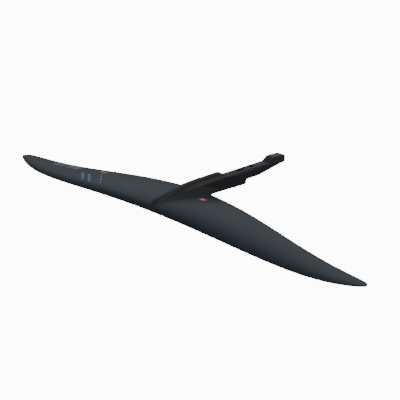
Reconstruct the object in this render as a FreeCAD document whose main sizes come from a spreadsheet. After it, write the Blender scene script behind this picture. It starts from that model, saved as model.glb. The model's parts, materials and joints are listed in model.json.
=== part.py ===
import FreeCAD, Part
import Sketcher
import math
import os

# A one-piece carbon hydrofoil front wing with its own short fuselage, tenon and tail hook.
# X is along the span, -Y is the front, +Z is up. Shapes are drawn from the nose of the wing and
# then placed so that the frame's origin is between the two mast screws, on top of the tenon.
# Lengths are millimetres.

Vec = FreeCAD.Vector

SIZES = [
    # planform, as even polynomials of the share of the half span
    ("half_span", 512.0), ("tip_cut", 0.996), ("root_chord", 155.6),
    ("chord_two", -184.4), ("chord_four", 187.9), ("chord_six", -84.26), ("tip_round", 5.0),
    ("sweep_two", 54.68), ("sweep_four", -5.69), ("sweep_eight", 33.82),
    ("droop_two", -80.16), ("droop_four", 47.02),
    # section
    ("thick_root", 0.120), ("thick_drop", 0.020), ("camber_ratio", 0.022),
    ("tail_half", 0.35), ("nose_half", 0.25),
    # laminate and inner pieces
    ("skin_wall", 1.2), ("bond", 0.06), ("cap_wall", 1.4), ("web_wall", 4.0), ("strip_width", 9.0),
    ("spar_place", 0.31), ("spar_width_root", 26.0), ("spar_width_tip", 11.0),
    ("inner_reach", 0.80), ("tip_reach", 0.93), ("root_half", 15.0), ("root_tail", 0.80),
    # fuselage
    ("ridge_half", 13.2), ("ridge_top", 31.6), ("ridge_wall", 2.4), ("keel_depth", 9.8),
    ("keel_half", 13.4), ("keel_start", 56.0),
    ("shoulder_top", 205.0), ("shoulder_run", 14.0), ("shoulder_low", 277.0), ("shoulder_lean", 2.0),
    ("rear_core_from", 166.0), ("nose_core_from", 48.0), ("nose_core_to", 160.0),
    # tenon, hook and screws
    ("tenon_half", 12.9), ("tenon_inner_half", 10.4), ("tenon_round", 3.2), ("tenon_top", 20.2),
    ("tenon_step", 0.3),
    ("tenon_end", 374.0),
    ("tenon_rise_from", 316.0), ("tenon_rise", 9.8),
    ("hook_start", 349.0), ("hook_crest", 361.0), ("hook_end", 402.0), ("hook_top", 29.4),
    ("hook_half", 10.8), ("flank_from", 135.0), ("flank_full", 187.0),
    ("screw_middle", 285.0), ("screw_pitch", 40.0), ("bush_radius", 4.6), ("bush_bore", 3.4),
    ("bush_flange", 5.8), ("bush_flange_wall", 1.2),
    # printed film and badge
    ("film_wall", 0.12), ("badge_radius", 11.5), ("badge_wall", 0.40), ("badge_ring", 6.5),
    ("badge_side", 51.0), ("badge_back", 107.0),
]

doc = FreeCAD.newDocument("hydrofoil_front_wing")
sheet = doc.addObject("Spreadsheet::Sheet", "Sizes")
for row, (alias, size) in enumerate(SIZES, start=1):
    sheet.set("A%d" % row, alias)
    sheet.set("B%d" % row, str(size))
    sheet.setAlias("B%d" % row, alias)
doc.recompute()


def size(alias):
    return float(sheet.get(alias))


BOND = size("bond")
SKIN = size("skin_wall")
PLACE = FreeCAD.Placement(Vec(0, -size("screw_middle"), -size("tenon_top")), FreeCAD.Rotation())
made = []


def keep(obj, label):
    """Label a finished sub-part, put it in the frame and remember it for the export."""
    obj.Label = label
    obj.Placement = PLACE
    made.append(obj)
    return obj


def keep_shape(shape, label):
    if shape.ShapeType == "Compound" and len(shape.Solids) == 1:
        shape = shape.Solids[0]
    obj = doc.addObject("Part::Feature", label)
    obj.Shape = shape
    return keep(obj, label)


# ---------------------------------------------------------------- wing surface

HALF_SPAN = size("half_span")


def chord_at(s):
    base = size("root_chord") + size("chord_two") * s**2 + size("chord_four") * s**4
    base += size("chord_six") * s**6
    return base * math.sqrt(max(0.0, 1.0 - abs(s) ** size("tip_round")))


def nose_at(s):
    back = size("sweep_two") * s**2 + size("sweep_four") * s**4 + size("sweep_eight") * s**8
    return back, size("droop_two") * s**2 + size("droop_four") * s**4


def thick_at(s):
    return size("thick_root") - size("thick_drop") * s**2


def half_thickness(s, x):
    shape = 0.2969 * math.sqrt(x) - 0.1260 * x - 0.3516 * x**2 + 0.2843 * x**3 - 0.1036 * x**4
    return 5.0 * thick_at(s) * chord_at(s) * shape + size("tail_half") * x


def wing_point(s, x, side, inset, floor=0.0):
    """A point at span share s and chord share x, on one side of the camber line."""
    chord = chord_at(s)
    back, up = nose_at(s)
    half = max(half_thickness(s, x) - inset, floor)
    camber = 4.0 * size("camber_ratio") * chord * x * (1.0 - x)
    return Vec(s * HALF_SPAN, back + x * chord, up + camber + side * half)


def nose_limit(s, half):
    """Chord share near the nose where the half thickness reaches a value."""
    low, high = 0.0, 0.3
    for _ in range(40):
        mid = 0.5 * (low + high)
        if half_thickness(s, mid) < half:
            low = mid
        else:
            high = mid
    return high


def tail_limit(s, half):
    """Chord share near the tail where the half thickness falls to a value."""
    low, high = 0.3, 1.0
    for _ in range(40):
        mid = 0.5 * (low + high)
        if half_thickness(s, mid) > half:
            low = mid
        else:
            high = mid
    return low


def spline_edge(points, params):
    curve = Part.BSplineCurve()
    curve.interpolate(Points=points, Parameters=params)
    return curve.toShape()


def strip_wire(s, x_from, x_to, top, bottom, count=17):
    """Closed section: top curve, tail edge, bottom curve, nose edge."""
    params = [k / (count - 1.0) for k in range(count)]
    shares = [x_from + (x_to - x_from) * p * p * (1.6 - 0.6 * p) for p in params]
    upper = [wing_point(s, x, *top) for x in shares]
    lower = [wing_point(s, x, *bottom) for x in shares]
    edges = [
        spline_edge(upper, params),
        Part.makeLine(upper[-1], lower[-1]),
        spline_edge(lower[::-1], params),
        Part.makeLine(lower[0], upper[0]),
    ]
    return Part.Wire(edges)


def strip(stations, x_from, x_to, top, bottom, count=17):
    """Loft a strip of the wing through span stations; the limits are functions of s."""
    wires = [strip_wire(s, x_from(s), x_to(s), top, bottom, count) for s in stations]
    solid = Part.makeLoft(wires, True, False)
    if solid.ShapeType != "Solid":
        solid = solid.Solids[0]
    if solid.Volume < 0:
        solid.reverse()
    return solid


def span_stations(s_from, s_to, count):
    low = math.asin(s_from)
    high = math.asin(s_to)
    return [math.sin(low + (high - low) * k / (count - 1.0)) for k in range(count)]


# ---------------------------------------------------------------- wing pieces

SKIN_STATIONS = span_stations(-size("tip_cut"), size("tip_cut"), 31)
REACH = size("inner_reach")
CORE = SKIN + BOND


def skin_nose(s):
    return nose_limit(s, size("nose_half"))


def tail_end(s):
    return 1.0


def cavity_nose(s):
    return nose_limit(s, CORE + 0.5)


def cavity_tail(s):
    return tail_limit(s, CORE + 0.45)


def strip_share(s):
    return size("strip_width") / chord_at(s)


def gap_share(s):
    return BOND / chord_at(s)


def spar_half(s):
    share = min(1.0, abs(s) / REACH)
    width = size("spar_width_root") * (1 - share) + size("spar_width_tip") * share
    return 0.5 * width / chord_at(s)


def spar_nose(s):
    return size("spar_place") - spar_half(s)


def spar_tail(s):
    return size("spar_place") + spar_half(s)


def front_core_from(s):
    return cavity_nose(s) + strip_share(s) + gap_share(s)


def front_core_to(s):
    return spar_nose(s) - gap_share(s)


def rear_core_from(s):
    return spar_tail(s) + gap_share(s)


def rear_core_to(s):
    return cavity_tail(s) - strip_share(s) - gap_share(s)


def web_nose(s):
    return size("spar_place") - 0.5 * size("web_wall") / chord_at(s)


def web_tail(s):
    return size("spar_place") + 0.5 * size("web_wall") / chord_at(s)


keep_shape(strip(SKIN_STATIONS, skin_nose, tail_end, (1, 0.0), (1, SKIN, BOND / 2), 25), "upper_skin")
keep_shape(strip(SKIN_STATIONS, skin_nose, tail_end, (-1, SKIN, BOND / 2), (-1, 0.0), 25), "lower_skin")

FULL = [-REACH + 2 * REACH * k / 16.0 for k in range(17)]
keep_shape(
    strip(FULL, cavity_nose, lambda s: cavity_nose(s) + strip_share(s), (1, CORE), (-1, CORE), 7),
    "leading_edge_strip",
)
keep_shape(
    strip(FULL, lambda s: cavity_tail(s) - strip_share(s), cavity_tail, (1, CORE), (-1, CORE), 7),
    "trailing_edge_strip",
)

CAP = CORE + size("cap_wall")
keep_shape(strip(FULL, spar_nose, spar_tail, (1, CORE), (1, CAP), 9), "spar_cap_upper")
keep_shape(strip(FULL, spar_nose, spar_tail, (-1, CAP), (-1, CORE), 9), "spar_cap_lower")

UNDER = CAP + BOND
ROOT = size("root_half") / HALF_SPAN
INNER = ROOT + BOND / HALF_SPAN
for label, sign in (("left", -1), ("right", 1)):
    run = [sign * (INNER + (REACH - INNER) * k / 9.0) for k in range(10)]
    if sign < 0:
        run = run[::-1]
    keep_shape(strip(run, front_core_from, front_core_to, (1, CORE), (-1, CORE), 11),
               "foam_core_front_" + label)
    keep_shape(strip(run, rear_core_from, rear_core_to, (1, CORE), (-1, CORE), 11),
               "foam_core_rear_" + label)
    keep_shape(strip(run, web_nose, web_tail, (1, UNDER), (-1, UNDER), 5), "shear_web_" + label)

    start = REACH + BOND / HALF_SPAN
    tip_run = [sign * (start + (size("tip_reach") - start) * k / 4.0) for k in range(5)]
    if sign < 0:
        tip_run = tip_run[::-1]
    keep_shape(strip(tip_run, cavity_nose, cavity_tail, (1, CORE), (-1, CORE), 11),
               "tip_block_" + label)

root_run = [-ROOT, -ROOT / 2, 0.0, ROOT / 2, ROOT]
keep_shape(strip(root_run, front_core_from, lambda s: size("root_tail"), (1, UNDER), (-1, UNDER), 13),
           "root_block")

# ---------------------------------------------------------------- fuselage

CENTRE_RUN = [s / HALF_SPAN for s in (-90.0, -60.0, -30.0, 0.0, 30.0, 60.0, 90.0)]
wing_envelope = strip(CENTRE_RUN, lambda s: nose_limit(s, 0.1), tail_end, (1, -BOND), (-1, -BOND), 25)
wing_tail_bar = Part.makeBox(180, BOND, 0.9, Vec(-90, size("root_chord"), -0.45))


def ease(share):
    share = min(1.0, max(0.0, share))
    return share * share * (3.0 - 2.0 * share)


def ridge_wire(y, half, top, crown, fair, foot, low):
    """Section of the fuselage top: a crowned top, steep sides and a fairing out to the foot."""
    bulge = foot - half
    edge = top - crown
    side = fair * (edge - low)
    right = [
        (0.0, top), (0.45 * half, top - 0.33 * crown), (0.80 * half, top - 0.72 * crown), (half, edge),
        (half + 0.03 * bulge, 0.5 * (edge + low + side)), (half + 0.50 * bulge, low + 0.60 * side),
        (half + 0.86 * bulge, low + 0.28 * side), (half + 0.98 * bulge, low + 0.10 * side), (foot, low),
    ]
    points = [Vec(-x, y, z) for x, z in right[:0:-1]] + [Vec(x, y, z) for x, z in right]
    count = len(points)
    params = [k / (count - 1.0) for k in range(count)]
    edges = [spline_edge(points, params), Part.makeLine(points[-1], points[0])]
    return Part.Wire(edges)


def keel_wire(y, half, depth, high):
    right = [(0.0, -depth), (0.5 * half, -depth), (half - 2.0, -depth + 0.25),
             (half - 0.35, -0.74 * depth), (half, high)]
    points = [Vec(-x, y, z) for x, z in right[:0:-1]] + [Vec(x, y, z) for x, z in right]
    count = len(points)
    params = [k / (count - 1.0) for k in range(count)]
    edges = [spline_edge(points, params), Part.makeLine(points[-1], points[0])]
    return Part.Wire(edges)


def ridge_sizes(y):
    """Half width, crest height, height of the crown, share of the fairing and half width at the foot."""
    flank = size("flank_from")
    half = size("ridge_half") * (0.58 + 0.42 * ease(y / 100.0))
    top = size("ridge_top") - 21.5 * max(0.0, 1.0 - (y - 8.0) / 140.0) ** 2
    top -= 6.0 * (1.0 - ease((y - 6.0) / 22.0))
    crown = 12.8 * y / flank
    if y > flank:
        crown = top - 18.6 - 1.6 * ease((y - flank) / 77.0)
    fair = 0.86 - 0.41 * ease((y - flank) / (size("flank_full") - flank))
    bulge = (5.5 + 8.0 * ease(y / 140.0)) * (1.0 - ease((y - 146.0) / 44.0)) + 0.15
    return half, top, crown, fair, half + bulge + 0.5


def smooth_loft(wires):
    solid = Part.makeLoft(wires, True, False)
    if solid.ShapeType != "Solid":
        solid = solid.Solids[0]
    if solid.Volume < 0:
        solid.reverse()
    return solid


def block_from_outline(outline, half):
    """A block with this outline in Y and Z, as wide as twice the half width."""
    corners = [Vec(-half, y, z) for y, z in outline]
    face = Part.Face(Part.makePolygon(corners + corners[:1]))
    return face.extrude(Vec(2 * half, 0, 0))


def scarf_at(z, gap=0.0):
    """Y of the slanted joint between the ridge shell and the open tenon, at a height."""
    slope = size("shoulder_run") / (size("ridge_top") - size("tenon_top"))
    return size("shoulder_top") + gap + (size("ridge_top") - z) * slope


def behind_scarf():
    return block_from_outline([(scarf_at(60.0), 60.0), (scarf_at(-20.0), -20.0), (460.0, -20.0),
                               (460.0, 60.0)], 60.0)


def behind_keel():
    low = size("shoulder_low")
    return block_from_outline([(low, 20.0), (low, 0.0), (low - size("shoulder_lean"), -size("keel_depth")),
                               (low - size("shoulder_lean"), -20.0), (460.0, -20.0),
                               (460.0, 20.0)], 60.0)


def tenon_space(gap):
    start = size("rear_core_from") - gap
    return block_from_outline([(start, -gap), (300.0, -gap), (300.0, size("tenon_top") + gap),
                               (start, size("tenon_top") + gap)], size("tenon_inner_half") + gap)


RIDGE_RUN = [12.0, 24.0, 40.0, 60.0, 84.0, 110.0, 135.0, 160.0, 187.0, 220.0, 255.0, 290.0]


def ridge_solid(run, shrink, low):
    wires = []
    for y in run:
        half, top, crown, fair, foot = ridge_sizes(y)
        wires.append(ridge_wire(y, half - shrink, top - shrink, crown, fair, foot - 1.6 * shrink, low))
    return smooth_loft(wires)


def largest(shape):
    return sorted(shape.Solids, key=lambda item: item.Volume)[-1]


rear_space = tenon_space(BOND)
ridge = ridge_solid(RIDGE_RUN, 0.0, BOND / 2)
ridge = ridge.cut(wing_envelope).cut(wing_tail_bar).cut(behind_scarf())
core_run = [size("nose_core_from") + (size("nose_core_to") - size("nose_core_from")) * k / 7.0
            for k in range(8)]
core_raw = ridge_solid(core_run, size("ridge_wall"), BOND / 2)
ridge = largest(ridge).cut(core_raw).cut(rear_space)
keep_shape(largest(ridge), "ridge_shell")

inner_envelope = strip(CENTRE_RUN, lambda s: nose_limit(s, 0.1), tail_end, (1, -2 * BOND),
                       (-1, -2 * BOND), 25)
trim_run = [core_run[0] + BOND + (core_run[-1] - core_run[0] - 2 * BOND) * k / 7.0 for k in range(8)]
core = ridge_solid(trim_run, size("ridge_wall") + BOND, BOND).cut(inner_envelope)
tail_bar = Part.makeBox(180, 30, 1.2, Vec(-90, size("root_chord") - 1.0, -0.6))
keep_shape(largest(core.cut(tail_bar)), "ridge_core")

keel_wires = []
shoulder = size("shoulder_low")
KEEL_RUN = [size("keel_start"), 76.0, 92.0, 110.0, 135.0, 165.0, 200.0, 240.0, 290.0]
for y in KEEL_RUN:
    share = ease((y - size("keel_start")) / 50.0)
    depth = size("keel_depth") - 3.2 * min(1.0, max(0.0, (shoulder - y) / 115.0))
    under_wing = 3.4 * ease((150.0 - y) / 55.0)
    keel_wires.append(keel_wire(y, size("keel_half") * (0.62 + 0.38 * share),
                                2.6 + (depth + under_wing - 2.6) * share, -BOND / 2))
keel = smooth_loft(keel_wires).cut(wing_envelope).cut(wing_tail_bar).cut(behind_keel())
keep_shape(largest(keel), "keel_shell")

# ---------------------------------------------------------------- tenon and hook


def origin_plane(body, role):
    for feature in body.Origin.OriginFeatures:
        if feature.Role == role:
            return feature
    raise ValueError(role)


def new_sketch(body, name, role):
    sketch = body.newObject("Sketcher::SketchObject", name)
    sketch.AttachmentSupport = [(origin_plane(body, role), "")]
    sketch.MapMode = "FlatFace"
    return sketch


def corner_value(expression):
    """The number an expression of sheet names gives, used for the first position of a corner."""
    text = expression
    for alias, _ in sorted(SIZES, key=lambda item: -len(item[0])):
        text = text.replace("Sizes." + alias, repr(size(alias)))
    total = FreeCAD.Units.Quantity(text)
    return float(total.Value)


def draw_polygon(sketch, corners):
    """Straight sides through corners that are pairs of sheet expressions."""
    spots = [(corner_value(a), corner_value(b)) for a, b in corners]
    first = sketch.GeometryCount
    count = len(spots)
    for k in range(count):
        start = spots[k]
        end = spots[(k + 1) % count]
        sketch.addGeometry(Part.LineSegment(Vec(start[0], start[1], 0), Vec(end[0], end[1], 0)))
    for k in range(count):
        sketch.addConstraint(Sketcher.Constraint("Coincident", first + k, 2, first + (k + 1) % count, 1))
    for k in range(count):
        for kind, index in (("DistanceX", 0), ("DistanceY", 1)):
            number = sketch.addConstraint(Sketcher.Constraint(kind, -1, 1, first + k, 1, spots[k][index]))
            sketch.setExpression("Constraints[%d]" % number, corners[k][index])


def draw_circle(sketch, radius, across, along):
    spot = Vec(corner_value(across), corner_value(along), 0)
    index = sketch.addGeometry(Part.Circle(spot, Vec(0, 0, 1), corner_value(radius)))
    number = sketch.addConstraint(Sketcher.Constraint("Radius", index, corner_value(radius)))
    sketch.setExpression("Constraints[%d]" % number, radius)
    number = sketch.addConstraint(Sketcher.Constraint("DistanceX", -1, 1, index, 3, spot.x))
    sketch.setExpression("Constraints[%d]" % number, across)
    number = sketch.addConstraint(Sketcher.Constraint("DistanceY", -1, 1, index, 3, spot.y))
    sketch.setExpression("Constraints[%d]" % number, along)


def expect_less(body, before, name):
    doc.recompute()
    if body.Shape.Volume >= before - 0.01:
        raise RuntimeError(name + " removed nothing")
    return body.Shape.Volume


tenon = doc.addObject("PartDesign::Body", "TenonBody")
profile = new_sketch(tenon, "TenonProfile", "YZ_Plane")
draw_polygon(profile, [
    ("Sizes.rear_core_from", "0"), ("Sizes.shoulder_low", "0"),
    ("Sizes.shoulder_low", "Sizes.tenon_step"), ("Sizes.tenon_rise_from", "Sizes.tenon_step"),
    ("Sizes.tenon_end", "Sizes.tenon_rise"), ("Sizes.tenon_end", "Sizes.tenon_top"),
    ("Sizes.rear_core_from", "Sizes.tenon_top"),
])
pad = tenon.newObject("PartDesign::Pad", "TenonPad")
pad.Profile = profile
pad.Midplane = True
pad.setExpression("Length", "2 * Sizes.tenon_half")
doc.recompute()
long_tops = []
for number, edge in enumerate(tenon.Shape.Edges, start=1):
    ends = [vertex.Point for vertex in edge.Vertexes]
    if min(ends[0].z, ends[1].z) > size("tenon_top") - 0.01 and abs(ends[0].y - ends[1].y) > 1.0:
        long_tops.append("Edge%d" % number)
rounding = tenon.newObject("PartDesign::Fillet", "TenonRounding")
rounding.Base = (pad, long_tops)
rounding.setExpression("Radius", "Sizes.tenon_round")
doc.recompute()
volume = tenon.Shape.Volume

slope = "Sizes.shoulder_run / (Sizes.ridge_top - Sizes.tenon_top)"
scarf_high = "Sizes.shoulder_top + Sizes.bond - 5 * (%s)" % slope
scarf_low = "Sizes.shoulder_top + Sizes.bond + (Sizes.ridge_top + 2) * (%s)" % slope
for tag, reverse in (("Left", True), ("Right", False)):
    cheek = new_sketch(tenon, "TenonCheek" + tag, "YZ_Plane")
    sign = "-" if reverse else ""
    cheek.setExpression(".AttachmentOffset.Base.z", sign + "Sizes.tenon_inner_half")
    draw_polygon(cheek, [
        ("Sizes.rear_core_from - 5", "-2"), (scarf_low, "-2"), (scarf_high, "Sizes.ridge_top + 5"),
        ("Sizes.rear_core_from - 5", "Sizes.ridge_top + 5"),
    ])
    cut = tenon.newObject("PartDesign::Pocket", "TenonCheekCut" + tag)
    cut.Profile = cheek
    cut.Reversed = not reverse
    cut.Length = 20.0
    volume = expect_less(tenon, volume, "cheek cut")

holes = new_sketch(tenon, "TenonHoles", "XY_Plane")
for sign in ("-", "+"):
    draw_circle(holes, "Sizes.bush_radius + Sizes.bond", "0",
                "Sizes.screw_middle %s Sizes.screw_pitch / 2" % sign)
bore = tenon.newObject("PartDesign::Pocket", "TenonBores")
bore.Profile = holes
bore.Type = 1
bore.Midplane = True
volume = expect_less(tenon, volume, "bores")

sinks = new_sketch(tenon, "TenonSinks", "XY_Plane")
sinks.setExpression(".AttachmentOffset.Base.z", "Sizes.tenon_top - Sizes.bush_flange_wall - Sizes.bond")
for sign in ("-", "+"):
    draw_circle(sinks, "Sizes.bush_flange + Sizes.bond", "0",
                "Sizes.screw_middle %s Sizes.screw_pitch / 2" % sign)
sink = tenon.newObject("PartDesign::Pocket", "TenonCounterbores")
sink.Profile = sinks
sink.Reversed = True
sink.Length = 10.0
volume = expect_less(tenon, volume, "counterbores")
keep(tenon, "tenon_block")

hook = doc.addObject("PartDesign::Body", "HookBody")
side_view = new_sketch(hook, "HookProfile", "YZ_Plane")
draw_polygon(side_view, [
    ("Sizes.hook_start", "Sizes.tenon_top + Sizes.bond"), ("Sizes.hook_crest", "Sizes.hook_top"),
    ("Sizes.hook_end - 3", "Sizes.hook_top - 1.4"), ("Sizes.hook_end", "Sizes.hook_top - 4"),
    ("Sizes.hook_end", "Sizes.tenon_rise + 2.5"), ("Sizes.hook_end - 2.5", "Sizes.tenon_rise + 0.2"),
    ("Sizes.tenon_end + Sizes.bond", "Sizes.tenon_rise"),
    ("Sizes.tenon_end + Sizes.bond", "Sizes.tenon_top + Sizes.bond"),
])
hook_pad = hook.newObject("PartDesign::Pad", "HookPad")
hook_pad.Profile = side_view
hook_pad.Midplane = True
hook_pad.setExpression("Length", "2 * Sizes.hook_half")
doc.recompute()
rounded = []
for number, edge in enumerate(hook.Shape.Edges, start=1):
    ends = [vertex.Point for vertex in edge.Vertexes]
    crest = size("hook_top") - 4.5
    if abs(ends[0].x - ends[1].x) < 0.01 and min(ends[0].z, ends[1].z) > crest:
        rounded.append("Edge%d" % number)
fillet = hook.newObject("PartDesign::Fillet", "HookRounding")
fillet.Base = (hook_pad, rounded)
fillet.Radius = 1.8
volume = hook.Shape.Volume
doc.recompute()
keep(hook, "tail_hook")

bushes = []
for tag, sign in (("Front", "-"), ("Rear", "+")):
    pieces = []
    for kind, radius, foot, height in (
        ("Barrel", "Sizes.bush_radius", "Sizes.tenon_step + Sizes.bond",
         "Sizes.tenon_top - Sizes.bush_flange_wall - Sizes.tenon_step - Sizes.bond"),
        ("Flange", "Sizes.bush_flange", "Sizes.tenon_top - Sizes.bush_flange_wall",
         "Sizes.bush_flange_wall"),
        ("Bore", "Sizes.bush_bore", "-1", "Sizes.tenon_top + 2"),
    ):
        rod = doc.addObject("Part::Cylinder", "Bush" + kind + tag)
        rod.setExpression("Radius", radius)
        rod.setExpression("Height", height)
        rod.setExpression("Placement.Base.y", "Sizes.screw_middle %s Sizes.screw_pitch / 2" % sign)
        rod.setExpression("Placement.Base.z", foot)
        pieces.append(rod)
    joined = doc.addObject("Part::MultiFuse", "BushBody" + tag)
    joined.Shapes = pieces[:2]
    drilled = doc.addObject("Part::Cut", "Bush" + tag)
    drilled.Base = joined
    drilled.Tool = pieces[2]
    bushes.append(drilled)
pair = doc.addObject("Part::Compound", "BushPair")
pair.Links = bushes
doc.recompute()
keep(pair, "mast_screw_bushes")

# ---------------------------------------------------------------- printed film and badge

FILM_LOW = -0.03
FILM_HIGH = -0.03 - size("film_wall")


def film_patch(x_span, y_front, y_back, lean):
    """A thin patch on the upper skin between two span positions; lean slants its ends."""
    stations = [(x_span[0] + (x_span[1] - x_span[0]) * k / 2.0) / HALF_SPAN for k in range(3)]

    def front(s):
        shift = lean * (s * HALF_SPAN - x_span[0])
        return (y_front + shift - nose_at(s)[0]) / chord_at(s)

    def back(s):
        shift = lean * (s * HALF_SPAN - x_span[0])
        return (y_back + shift - nose_at(s)[0]) / chord_at(s)

    return strip(stations, front, back, (1, FILM_HIGH), (1, FILM_LOW), 6)


# Each entry is the span range, the front and back of the patch at its first end, and its lean.
BAR_PATCHES = [
    ((-404.0, -389.0), 83.0, 106.0, 0.0), ((-384.0, -372.0), 85.0, 108.0, 0.0),
    ((-358.0, -343.0), 82.0, 109.0, 0.0), ((-338.0, -322.0), 84.0, 105.0, 0.0),
]
LINE_PATCHES = [
    ((-284.0, -242.0), 66.0, 74.0, -0.86), ((-262.0, -216.0), 66.0, 73.0, -0.86),
    ((-241.0, -229.0), 86.0, 91.0, -0.97), ((-226.0, -214.0), 71.0, 76.0, -0.97),
    ((-210.0, -198.0), 56.0, 61.0, -0.97), ((-194.0, -182.0), 41.0, 46.0, -0.97),
]
keep_shape(Part.Compound([film_patch(*patch) for patch in BAR_PATCHES]), "film_bars")
keep_shape(film_patch((-264.0, -238.0), 99.0, 109.0, -0.15), "film_accent")
keep_shape(Part.Compound([film_patch(*patch) for patch in LINE_PATCHES]), "film_lines")

s_badge = size("badge_side") / HALF_SPAN
x_badge = (size("badge_back") - nose_at(s_badge)[0]) / chord_at(s_badge)
spot = wing_point(s_badge, x_badge, 1, 0.0)
along = wing_point(s_badge, x_badge + 0.02, 1, 0.0) - wing_point(s_badge, x_badge - 0.02, 1, 0.0)
across = wing_point(s_badge + 0.01, x_badge, 1, 0.0) - wing_point(s_badge - 0.01, x_badge, 1, 0.0)
normal = across.cross(along)
normal.normalize()
base = spot + normal * 0.06
ring_radius = size("badge_radius")
inner_radius = ring_radius - size("badge_ring")
disc = Part.makeCylinder(ring_radius, size("badge_wall"), base, normal)
disc = disc.cut(Part.makeCylinder(inner_radius + 0.04, size("badge_wall") + 2, base - normal, normal))
keep_shape(disc, "badge_ring")
keep_shape(Part.makeCylinder(inner_radius - 0.04, size("badge_wall"), base, normal), "badge_centre")

# ---------------------------------------------------------------- checks and export

doc.recompute()
for obj in doc.Objects:
    if "Invalid" in obj.State or "Error" in obj.State:
        raise RuntimeError("%s is in state %s" % (obj.Label, obj.State))
os.makedirs("parts", exist_ok=True)
for obj in made:
    shape = obj.Shape
    if shape.isNull() or not shape.isValid() or shape.Volume <= 0:
        raise RuntimeError("%s has a bad shape" % obj.Label)
    shape.exportStep("parts/%s.step" % obj.Label)
    box = shape.optimalBoundingBox()
    print("%-24s solids %d volume %.0f  x %.1f %.1f  y %.1f %.1f  z %.1f %.1f" % (
        obj.Label, len(shape.Solids), shape.Volume, box.XMin, box.XMax, box.YMin, box.YMax,
        box.ZMin, box.ZMax))
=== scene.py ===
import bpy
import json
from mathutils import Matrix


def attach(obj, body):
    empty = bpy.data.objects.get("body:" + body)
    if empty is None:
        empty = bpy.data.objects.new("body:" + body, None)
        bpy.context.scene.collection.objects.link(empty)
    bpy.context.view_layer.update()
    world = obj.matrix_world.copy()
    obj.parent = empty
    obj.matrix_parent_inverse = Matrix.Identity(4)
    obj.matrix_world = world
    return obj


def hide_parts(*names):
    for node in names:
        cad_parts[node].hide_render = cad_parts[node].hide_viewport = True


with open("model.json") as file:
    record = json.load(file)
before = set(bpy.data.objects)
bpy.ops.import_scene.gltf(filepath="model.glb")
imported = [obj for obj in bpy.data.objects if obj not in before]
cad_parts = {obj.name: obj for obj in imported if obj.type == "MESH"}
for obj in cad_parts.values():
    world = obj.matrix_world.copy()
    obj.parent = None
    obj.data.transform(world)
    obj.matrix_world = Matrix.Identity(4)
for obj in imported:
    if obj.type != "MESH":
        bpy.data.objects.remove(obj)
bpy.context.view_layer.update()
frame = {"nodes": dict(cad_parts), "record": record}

import json
import math

import bpy
import numpy as np
from mathutils import Vector

# The frame's origin, seen from the nose of the wing (millimetres).
NOSE_BACK = 285.0
NOSE_DOWN = 20.2
MM = 0.001

# ---------------------------------------------------------------- wing formulas, as in the CAD
HALF_SPAN = 512.0
TIP_FROM = 0.97  # from here the rings are drawn in, so that they end inside the CAD's cut tips
TIP_RUN = 0.03
TIP_REACH = 0.0257
TAIL_HALF = 0.35
THICKNESS = 0.120
THICKNESS_LOSS = 0.020
CAMBER = 0.022


def chord_at(s):
    base = 155.6 - 184.4 * s**2 + 187.9 * s**4 - 84.26 * s**6
    return base * np.sqrt(np.maximum(0.0, 1.0 - np.abs(s) ** 5.0))


def nose_back(s):
    return 54.68 * s**2 - 5.69 * s**4 + 33.82 * s**8


def nose_up(s):
    return -80.16 * s**2 + 47.02 * s**4


def half_thickness(s, x):
    """Half of the section's thickness at a share x of the chord; the tail edge stays blunt."""
    shape = 0.2969 * np.sqrt(x) - 0.1260 * x - 0.3516 * x**2 + 0.2843 * x**3 - 0.1036 * x**4
    return 5.0 * (THICKNESS - THICKNESS_LOSS * s**2) * chord_at(s) * shape + TAIL_HALF * x


def camber_at(chord, share):
    return 4.0 * CAMBER * chord * share * (1.0 - share)


def surface_height(x_mm, y_mm, side):
    """Height of the wing's upper (side 1) or lower (side -1) surface at a place, nose frame."""
    s = x_mm / HALF_SPAN
    chord = chord_at(s)
    share = np.clip((y_mm - nose_back(s)) / chord, 0.0, 1.0)
    return nose_up(s) + camber_at(chord, share) + side * half_thickness(s, share)


# ---------------------------------------------------------------- mesh helpers


def to_frame(points):
    """Nose frame in millimetres to the row's frame in metres."""
    points = np.asarray(points, dtype=float)
    return (points - np.array([0.0, NOSE_BACK, NOSE_DOWN])) * MM


def ring_mesh(name, rings, sharp_deg=32.0):
    """A closed skin through closed rings of equally many points, with flat caps at both ends."""
    count = len(rings[0])
    points = to_frame(np.concatenate(rings))
    faces = []
    for r in range(len(rings) - 1):
        low = r * count
        high = low + count
        for k in range(count):
            n = (k + 1) % count
            faces.append((low + k, low + n, high + n, high + k))
    faces.append(tuple(range(count - 1, -1, -1)))
    last = (len(rings) - 1) * count
    faces.append(tuple(range(last, last + count)))
    mesh = bpy.data.meshes.new(name)
    mesh.from_pydata([tuple(p) for p in points], [], faces)
    mesh.validate()
    obj = bpy.data.objects.new(name, mesh)
    bpy.context.scene.collection.objects.link(obj)
    bpy.context.view_layer.objects.active = obj
    bpy.ops.object.select_all(action="DESELECT")
    obj.select_set(True)
    bpy.ops.object.mode_set(mode="EDIT")
    bpy.ops.mesh.select_all(action="SELECT")
    bpy.ops.mesh.normals_make_consistent(inside=False)
    bpy.ops.object.mode_set(mode="OBJECT")
    for polygon in mesh.polygons:
        polygon.use_smooth = True
    mesh.set_sharp_from_angle(angle=math.radians(sharp_deg))
    return obj


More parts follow.
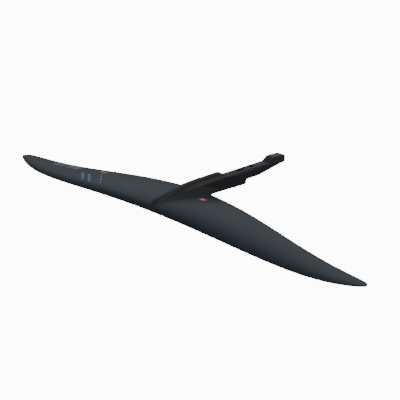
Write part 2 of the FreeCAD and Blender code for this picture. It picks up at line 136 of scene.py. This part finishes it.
def spline(control, count):
    """A clamped cubic B-spline through a control polygon, sampled evenly in its parameter."""
    control = np.asarray(control, dtype=float)
    degree = 3
    inner = len(control) - degree
    knots = np.concatenate([np.zeros(degree), np.linspace(0, 1, inner + 1), np.ones(degree)])
    result = []
    for t in np.linspace(0, 1, count):
        span = min(degree + int(t * inner), len(control) - 1)
        work = [control[j + span - degree].copy() for j in range(degree + 1)]
        for level in range(1, degree + 1):
            for j in range(degree, level - 1, -1):
                i = j + span - degree
                width = knots[i + degree - level + 1] - knots[i]
                a = (t - knots[i]) / width if width > 0 else 0.0
                work[j] = (1 - a) * work[j - 1] + a * work[j]
        result.append(work[degree])
    return np.array(result)


def ease(share):
    share = min(1.0, max(0.0, share))
    return share * share * (3.0 - 2.0 * share)


def box_mesh(name, low, high):
    x0, y0, z0 = low
    x1, y1, z1 = high
    ring0 = [(x0, y0, z0), (x1, y0, z0), (x1, y0, z1), (x0, y0, z1)]
    ring1 = [(x0, y1, z0), (x1, y1, z0), (x1, y1, z1), (x0, y1, z1)]
    return ring_mesh(name, [np.array(ring0), np.array(ring1)])


# ---------------------------------------------------------------- materials

TOW_PITCH = 0.0062
MOTTLE_SCALE = 60.0
MOTTLE_SHARE = 0.10
ROUGH_SPREAD = 0.05


def new_material(name):
    material = bpy.data.materials.new(name)
    material.use_nodes = True
    nodes = material.node_tree.nodes
    shader = nodes["Principled BSDF"]
    return material, nodes, material.node_tree.links, shader


def carbon(name, dark, light, rough, stripe):
    """Uncoated laminate: a fine tow stripe across the span, a twill and a soft mottle."""
    material, nodes, links, shader = new_material(name)
    place = nodes.new("ShaderNodeTexCoord")
    split = nodes.new("ShaderNodeSeparateXYZ")
    links.new(place.outputs["Object"], split.inputs[0])

    def math_node(kind, a, b=None):
        node = nodes.new("ShaderNodeMath")
        node.operation = kind
        for slot, value in enumerate((a, b)):
            if value is None:
                continue
            if isinstance(value, (int, float)):
                node.inputs[slot].default_value = value
            else:
                links.new(value, node.inputs[slot])
        return node.outputs[0]

    turns = 2 * math.pi / TOW_PITCH
    tow = math_node("SINE", math_node("MULTIPLY", split.outputs["X"], turns))
    across = math_node("SINE", math_node("MULTIPLY", split.outputs["Y"], turns))
    twill = math_node("MULTIPLY", tow, across)
    noise = nodes.new("ShaderNodeTexNoise")
    noise.inputs["Scale"].default_value = MOTTLE_SCALE
    noise.inputs["Detail"].default_value = 3.0
    links.new(place.outputs["Object"], noise.inputs["Vector"])
    mottle = math_node("SUBTRACT", noise.outputs[0], 0.5)
    stripes = math_node("MULTIPLY", tow, stripe)
    total = math_node("ADD", stripes, math_node("MULTIPLY", twill, stripe))
    total = math_node("ADD", total, math_node("MULTIPLY", mottle, MOTTLE_SHARE))
    total = math_node("ADD", total, 0.5)
    ramp = nodes.new("ShaderNodeValToRGB")
    ramp.color_ramp.elements[0].color = (*dark, 1)
    ramp.color_ramp.elements[1].color = (*light, 1)
    links.new(total, ramp.inputs[0])
    links.new(ramp.outputs[0], shader.inputs["Base Color"])
    shader.inputs["Roughness"].default_value = rough
    shader.inputs["Specular IOR Level"].default_value = 0.45
    return material


def plain(name, colour, rough, metallic=0.0):
    """One colour with a faint mottle in the roughness."""
    material, nodes, links, shader = new_material(name)
    noise = nodes.new("ShaderNodeTexNoise")
    noise.inputs["Scale"].default_value = 300.0
    spread = nodes.new("ShaderNodeMapRange")
    spread.inputs["To Min"].default_value = rough - ROUGH_SPREAD
    spread.inputs["To Max"].default_value = rough + ROUGH_SPREAD
    links.new(noise.outputs[0], spread.inputs["Value"])
    links.new(spread.outputs[0], shader.inputs["Roughness"])
    shader.inputs["Base Color"].default_value = (*colour, 1)
    shader.inputs["Metallic"].default_value = metallic
    return material


SKIN = carbon("carbon_skin_finish", (0.029, 0.036, 0.046), (0.050, 0.060, 0.074), 0.36, 0.16)
BODY = carbon("carbon_body_finish", (0.036, 0.038, 0.042), (0.054, 0.057, 0.062), 0.38, 0.05)
# The hook head is the body's carbon painted lighter: painted light for the brighter look of the
# head under the lamps.
HOOK_PAINTED_LIGHTER = carbon("hook_carbon_painted_lighter", (0.055, 0.056, 0.060), (0.100, 0.101, 0.105), 0.36, 0.0)
FINISH = {
    "carbon_skin": SKIN,
    "carbon_body": BODY,
    "hook_carbon": HOOK_PAINTED_LIGHTER,
    "inner_laminate": plain("inner_laminate_finish", (0.045, 0.045, 0.048), 0.6),
    "foam": plain("foam_finish", (0.72, 0.66, 0.50), 0.85),
    "bush_steel": plain("bush_steel_finish", (0.030, 0.030, 0.034), 0.55, 0.6),
    "film_pale": plain("film_pale_finish", (0.33, 0.40, 0.47), 0.5),
    "film_yellow": plain("film_yellow_finish", (0.72, 0.60, 0.12), 0.5),
    "badge_red": plain("badge_red_finish", (0.60, 0.03, 0.03), 0.3),
    "badge_pale": plain("badge_pale_finish", (0.85, 0.85, 0.85), 0.3),
}

for entry in frame["record"]["subparts"]:
    node = frame["nodes"][entry["node"]]
    finish = FINISH[entry["material_slot"]]
    if len(node.material_slots) == 0:
        node.data.materials.append(finish)
    for material_slot in node.material_slots:
        material_slot.material = finish


def dress(obj, finish, slot, *nodes):
    obj.data.materials.clear()
    obj.data.materials.append(finish)
    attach(obj, "root")
    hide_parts(*nodes)
    return obj


# ---------------------------------------------------------------- wing


SPAN_STEPS = 281
CHORD_STEPS = 46


def wing_rings():
    """Sections from tip to tip, closer together at the tips and the leading edge."""
    rings = []
    angles = np.linspace(-math.pi / 2, math.pi / 2, SPAN_STEPS)
    around = np.linspace(0.0, 1.0, CHORD_STEPS)
    shares = around * around * (1.6 - 0.6 * around)
    for angle in angles[1:-1]:
        s = math.sin(angle)
        chord = float(chord_at(s))
        x_mm = HALF_SPAN * s
        if abs(s) > TIP_FROM:
            squeezed = TIP_FROM + (abs(s) - TIP_FROM) * TIP_REACH / TIP_RUN
            x_mm = HALF_SPAN * math.copysign(squeezed, s)
        half = half_thickness(s, shares)
        half[0] = 0.0
        y = nose_back(s) + shares * chord
        up = nose_up(s) + camber_at(chord, shares)
        upper = np.stack([np.full_like(y, x_mm), y, up + half], 1)
        lower = np.stack([np.full_like(y, x_mm), y, up - half], 1)
        rings.append(np.concatenate([upper[::-1], lower[1:]]))
    return rings


dress(ring_mesh("wing_skin", wing_rings(), 50.0), SKIN, "carbon_skin", "upper_skin", "lower_skin")

# ---------------------------------------------------------------- fuselage

RIDGE_HALF = 13.2
RIDGE_TOP = 31.6
TENON_TOP = 20.2
SHOULDER_TOP = 205.0
SHOULDER_RUN = 14.0
KEEL_END = 277.0
KEEL_LEAN = 2.0
KEEL_DEPTH = 9.8
ROOT_CHORD = 155.6
FLANK_FROM = 135.0
FLANK_FULL = 187.0

NOSE_WIDTH = 0.58
NOSE_WIDTH_GAIN = 0.42
NOSE_WIDTH_RUN = 100.0
NOSE_FROM = 5.0
NOSE_RUN = 24.0
CREST_SAG = 21.5
CREST_FROM = 8.0
CREST_RUN = 140.0
CROWN = 12.8
EDGE_LEVEL = 18.6
EDGE_RISE = 1.6
EDGE_RUN = 77.0
BULGE_NOSE = 2.5
BULGE_GAIN = 11.0
BULGE_RUN = 140.0
BULGE_FADE = 146.0
BULGE_FADE_RUN = 44.0
BULGE_LEAST = 0.15
RIDGE_FRONT = 7.0
RIDGE_REAR = 192.0


def ridge_half_width(y):
    return RIDGE_HALF * (NOSE_WIDTH + NOSE_WIDTH_GAIN * ease(y / NOSE_WIDTH_RUN))


def ridge_height(y):
    """The crest comes out of the wing just behind the nose and levels off over the tail."""
    wanted = RIDGE_TOP - CREST_SAG * max(0.0, 1.0 - (y - CREST_FROM) / CREST_RUN) ** 2
    skin = float(surface_height(0.0, min(y, 60.0), 1)) + 0.03
    return skin + (wanted - skin) * ease((y - NOSE_FROM) / NOSE_RUN)


def ridge_edge(y):
    """Height of the edge where the crowned top meets the side."""
    if y < FLANK_FROM:
        return ridge_height(y) - CROWN * y / FLANK_FROM
    return EDGE_LEVEL + EDGE_RISE * ease((y - FLANK_FROM) / EDGE_RUN)


def side_bulge(y):
    """How far the fairing reaches out beyond the side; it dies out behind the trailing edge."""
    reach = BULGE_NOSE + BULGE_GAIN * ease(y / BULGE_RUN)
    return reach * (1.0 - ease((y - BULGE_FADE) / BULGE_FADE_RUN)) + BULGE_LEAST


def ridge_ring(y, count=56):
    """Section of the ridge: a crowned top, a side, a fairing out to the skin and a hidden floor."""
    half = ridge_half_width(y)
    bulge = side_bulge(y)
    top = ridge_height(y)
    foot = half + bulge + min(2.0, 0.35 * bulge)
    over = y < ROOT_CHORD + 2.0

    def ground(x):
        if over:
            return float(surface_height(x, min(y, ROOT_CHORD), 1))
        return 0.0

    base = ground(half)
    edge = max(ridge_edge(y), base + 0.4)
    crown = top - edge
    fair = 0.88 - 0.81 * min(1.0, max(0.0, (y - FLANK_FROM) / (FLANK_FULL - FLANK_FROM)))
    blend = base + fair * (edge - base)
    side = blend - base
    right = [
        (0.0, top), (0.34 * half, top), (0.56 * half, top - 0.16 * crown),
        (0.82 * half, top - 0.56 * crown), (half - 0.1, edge + 0.03 * crown), (half, edge),
        (half, 0.5 * (edge + blend)), (half + 0.04 * bulge, blend),
        (half + 0.50 * bulge, base + 0.58 * side), (half + 0.86 * bulge, base + 0.24 * side),
        (half + bulge, ground(half + bulge) + 0.03 * side), (foot, ground(foot) + 0.01),
    ]
    curve = spline(right, count)
    left = curve[:0:-1] * np.array([-1.0, 1.0])
    arch = np.concatenate([left, curve])
    under = -1.5 if over else -0.3
    floor_edge = ground(foot) + under
    floor = [(foot - 0.5, floor_edge), (0.0, base + under), (-foot + 0.5, floor_edge)]
    return np.concatenate([arch, np.array(floor)])


def placed(section, y_of):
    return np.stack([section[:, 0], y_of(section[:, 1]), section[:, 1]], 1)


def upright(section, y):
    """A section that stands square to the fuselage, y behind the nose."""
    return placed(section, lambda z: np.full_like(z, y))


def scarf_at(z):
    """The ridge's sloping rear face: how far back it is at a height."""
    return SHOULDER_TOP + (RIDGE_TOP - z) * SHOULDER_RUN / (RIDGE_TOP - TENON_TOP)


ridge_stations = np.concatenate([
    np.linspace(RIDGE_FRONT, 20.0, 14),
    np.linspace(22.0, 120.0, 44),
    np.linspace(122.0, RIDGE_REAR, 46),
])
ridge_rings = [upright(ridge_ring(y), y) for y in ridge_stations]
end_section = ridge_ring(RIDGE_REAR)
for t in np.linspace(0.1, 1.0, 10):
    ridge_rings.append(placed(end_section,
                              lambda z, t=t: RIDGE_REAR + t * (scarf_at(z) - RIDGE_REAR)))
dress(ring_mesh("fuselage_ridge", ridge_rings), BODY, "carbon_body", "ridge_shell")


KEEL_FRONT = 47.0
KEEL_REAR = 262.0
KEEL_SINK_FROM = 46.0
KEEL_SINK_RUN = 60.0
KEEL_SLOPE = 3.2
KEEL_SLOPE_RUN = 115.0
BELLY = 3.4
BELLY_TO = 150.0
BELLY_RUN = 55.0
FLARE = 1.3


def keel_ring(y, count=40):
    """Section of the keel: a flat belly, a side, a fairing to the underside and a hidden lid."""
    share = ease((y - KEEL_SINK_FROM) / KEEL_SINK_RUN)
    half = RIDGE_HALF + 0.05
    over = y < ROOT_CHORD
    flare = FLARE * side_bulge(y)
    foot = half + flare
    slope = KEEL_SLOPE * min(1.0, (KEEL_END - y) / KEEL_SLOPE_RUN)
    depth = KEEL_DEPTH - slope + BELLY * ease((BELLY_TO - y) / BELLY_RUN)

    def ground(x):
        return float(surface_height(x, y, -1)) if over else 0.0

    base = ground(0.0)
    low = base + (-depth - base) * share - 0.02
    drop = low - base
    right = [
        (0.0, low), (0.45 * half, low), (half - 1.4, low), (half - 0.1, low),
        (half, low - 0.12 * drop), (half, base + 0.55 * drop),
        (half + 0.05 * flare, base + 0.15 * drop), (half + 0.4 * flare, ground(half + 0.4 * flare)),
        (foot, ground(foot) - 0.01),
    ]
    curve = spline(right, count)
    left = curve[:0:-1] * np.array([-1.0, 1.0])
    over_top = 1.2 if over else 0.5
    lid_edge = ground(foot) + over_top
    lid = [(foot - 0.5, lid_edge), (0.0, base + over_top), (-foot + 0.5, lid_edge)]
    return np.concatenate([left, curve, np.array(lid)])


def keel_end(z):
    return KEEL_END - KEEL_LEAN * np.clip(-z / KEEL_DEPTH, 0.0, 1.0)


keel_stations = np.concatenate([
    np.linspace(KEEL_FRONT, 155.0, 60),
    np.linspace(157.0, KEEL_REAR, 30),
])
keel_rings = [upright(keel_ring(y), y) for y in keel_stations]
keel_last = keel_ring(KEEL_REAR)
for t in (0.5, 0.8, 0.93, 0.98, 1.0):
    shrink = 1.0 - 0.02 * max(0.0, (t - 0.9) / 0.1) ** 2
    keel_rings.append(placed(keel_last * shrink,
                             lambda z, t=t: KEEL_REAR + t * (keel_end(z) - KEEL_REAR)))
dress(ring_mesh("fuselage_keel", keel_rings), BODY, "carbon_body", "keel_shell")

# ---------------------------------------------------------------- tenon and hook

TENON_HALF = 12.95
SCREWS = (265.0, 305.0)
FLANGE_HALF = 5.86
TENON_ROUNDS = (3.4, 1.2)
HOOK_ROUNDS = (2.2, 1.4)


def rounded_section(half, top, low, round_top, round_low, count=9):
    """A closed section with round corners, from the middle of the top towards +X."""
    points = []
    corners = [
        (half - round_top, top - round_top, round_top, 90.0, 0.0),
        (half - round_low, low + round_low, round_low, 0.0, -90.0),
        (-half + round_low, low + round_low, round_low, -90.0, -180.0),
        (-half + round_top, top - round_top, round_top, 180.0, 90.0),
    ]
    for x, z, radius, start, stop in corners:
        for k in range(count):
            angle = math.radians(start + (stop - start) * k / (count - 1))
            points.append((x + radius * math.cos(angle), z + radius * math.sin(angle)))
    return np.array(points)


TENON_RINGS = [
    # y, low
    (206.0, 0.3), (300.0, 0.3), (311.0, 0.3), (316.0, 0.5), (320.0, 1.0),
    (330.0, 2.6), (345.0, 5.05), (360.0, 7.5), (366.0, 8.5), (376.0, 9.8),
]
tenon_rings = [
    upright(rounded_section(TENON_HALF, TENON_TOP, low, *TENON_ROUNDS), y) for y, low in TENON_RINGS
]
tenon = dress(ring_mesh("tenon", tenon_rings), BODY, "carbon_body", "tenon_block")

circle_angles = np.linspace(0, 2 * math.pi, 49)[:-1]
circle = [(FLANGE_HALF * math.cos(a), FLANGE_HALF * math.sin(a)) for a in circle_angles]
for y in SCREWS:
    rings = [np.array([(cx, y + cy, z) for cx, cy in circle]) for z in (-1.0, TENON_TOP + 2.0)]
    drill = ring_mesh("drill_%d" % int(y), rings)
    cut = tenon.modifiers.new("cut", "BOOLEAN")
    cut.operation = "DIFFERENCE"
    cut.object = drill
    cut.solver = "EXACT"
    bpy.context.view_layer.objects.active = tenon
    bpy.ops.object.modifier_apply(modifier=cut.name)
    bpy.data.objects.remove(drill, do_unlink=True)

HOOK_LINE = [
    # y, top, low, half width
    (348.0, 19.2, 6.6, 9.6), (350.0, 21.0, 6.6, 10.6), (354.0, 24.0, 7.2, 10.8),
    (358.5, 27.2, 7.9, 10.8), (361.5, 28.9, 8.4, 10.8), (365.0, 29.4, 9.0, 10.8),
    (377.0, 29.3, 9.9, 10.8), (390.0, 28.7, 10.2, 10.8), (396.0, 28.0, 10.5, 10.6),
    (400.0, 26.6, 11.6, 10.0), (401.8, 24.2, 13.4, 9.0),
]
hook_rings = [
    upright(rounded_section(half, top, low, *HOOK_ROUNDS), y) for y, top, low, half in HOOK_LINE
]
dress(ring_mesh("hook_head", hook_rings, 40.0), HOOK_PAINTED_LIGHTER, "hook_carbon", "tail_hook")

# ---------------------------------------------------------------- camera, light and floor

WHITE = 12.0
SKY = 0.20
AZIMUTH = math.radians(47.2)
ELEVATION = math.radians(21.1)
DISTANCE = 3.40
nose = Vector(to_frame([[0.0, 0.0, 0.0]])[0])
back = Vector((math.sin(AZIMUTH) * math.cos(ELEVATION), -math.cos(AZIMUTH) * math.cos(ELEVATION),
               math.sin(ELEVATION)))
camera = bpy.data.objects.new("camera", bpy.data.cameras.new("camera"))
bpy.context.scene.collection.objects.link(camera)
camera.location = nose + back * DISTANCE
aim = Vector((0.0, -0.135, -0.038))
camera.rotation_mode = "QUATERNION"
level = (-back).to_track_quat("-Z", "Y")
camera.rotation_quaternion = (-back).rotation_difference(aim - camera.location) @ level
camera.data.lens = 150.0
camera.data.sensor_width = 36.0
camera.data.clip_start = 0.05
camera.data.clip_end = 50.0
bpy.context.scene.camera = camera

FLOOR_HALF = 9000.0
FLOOR_TOP = -1390.0
FLOOR_LOW = -1400.0
floor = box_mesh("floor", (-FLOOR_HALF, -FLOOR_HALF, FLOOR_LOW),
                 (FLOOR_HALF, FLOOR_HALF, FLOOR_TOP))


def paper_white(tree, lit, output, strength):
    """Plain white paper: the camera sees it as near white, the object gets only its soft bounce."""
    ray = tree.nodes.new("ShaderNodeLightPath")
    mix = tree.nodes.new("ShaderNodeMixShader")
    for_sky = output.bl_idname == "ShaderNodeOutputWorld"
    bright = tree.nodes.new("ShaderNodeBackground" if for_sky else "ShaderNodeEmission")
    bright.inputs["Color"].default_value = (1.0, 1.0, 1.0, 1.0)
    bright.inputs["Strength"].default_value = strength
    tree.links.new(ray.outputs["Is Camera Ray"], mix.inputs[0])
    tree.links.new(lit.outputs[0], mix.inputs[1])
    tree.links.new(bright.outputs[0], mix.inputs[2])
    tree.links.new(mix.outputs[0], output.inputs["Surface"])


paper, paper_nodes, _, paper_shader = new_material("floor_finish")
paper_shader.inputs["Base Color"].default_value = (0.55, 0.55, 0.56, 1.0)
paper_shader.inputs["Roughness"].default_value = 0.9
paper_white(paper.node_tree, paper_shader, paper_nodes["Material Output"], WHITE)
floor.data.materials.append(paper)

world = bpy.data.worlds.new("studio")
world.use_nodes = True
sky = world.node_tree.nodes["Background"]
sky.inputs["Color"].default_value = (0.74, 0.88, 1.0, 1.0)
sky.inputs["Strength"].default_value = SKY
paper_white(world.node_tree, sky, world.node_tree.nodes["World Output"], WHITE)
bpy.context.scene.world = world


def soft_light(name, place, size, power, colour=(1.0, 1.0, 1.0)):
    """An area light that looks at the frame's origin."""
    data = bpy.data.lights.new(name, "AREA")
    data.shape = "RECTANGLE"
    data.size, data.size_y = size
    data.energy = power
    data.color = colour
    light = bpy.data.objects.new(name, data)
    bpy.context.scene.collection.objects.link(light)
    light.location = place
    light.rotation_mode = "QUATERNION"
    light.rotation_quaternion = (-Vector(place)).to_track_quat("-Z", "Y")


soft_light("key", (-1.9, 2.2, 1.5), (3.0, 2.0), 6.0)
soft_light("overhead", (0.5, 0.1, 2.6), (1.6, 1.6), 9.0, (0.72, 0.86, 1.0))
soft_light("warm", (1.85, 1.72, 0.92), (1.1, 1.1), 6.0, (1.0, 0.72, 0.52))
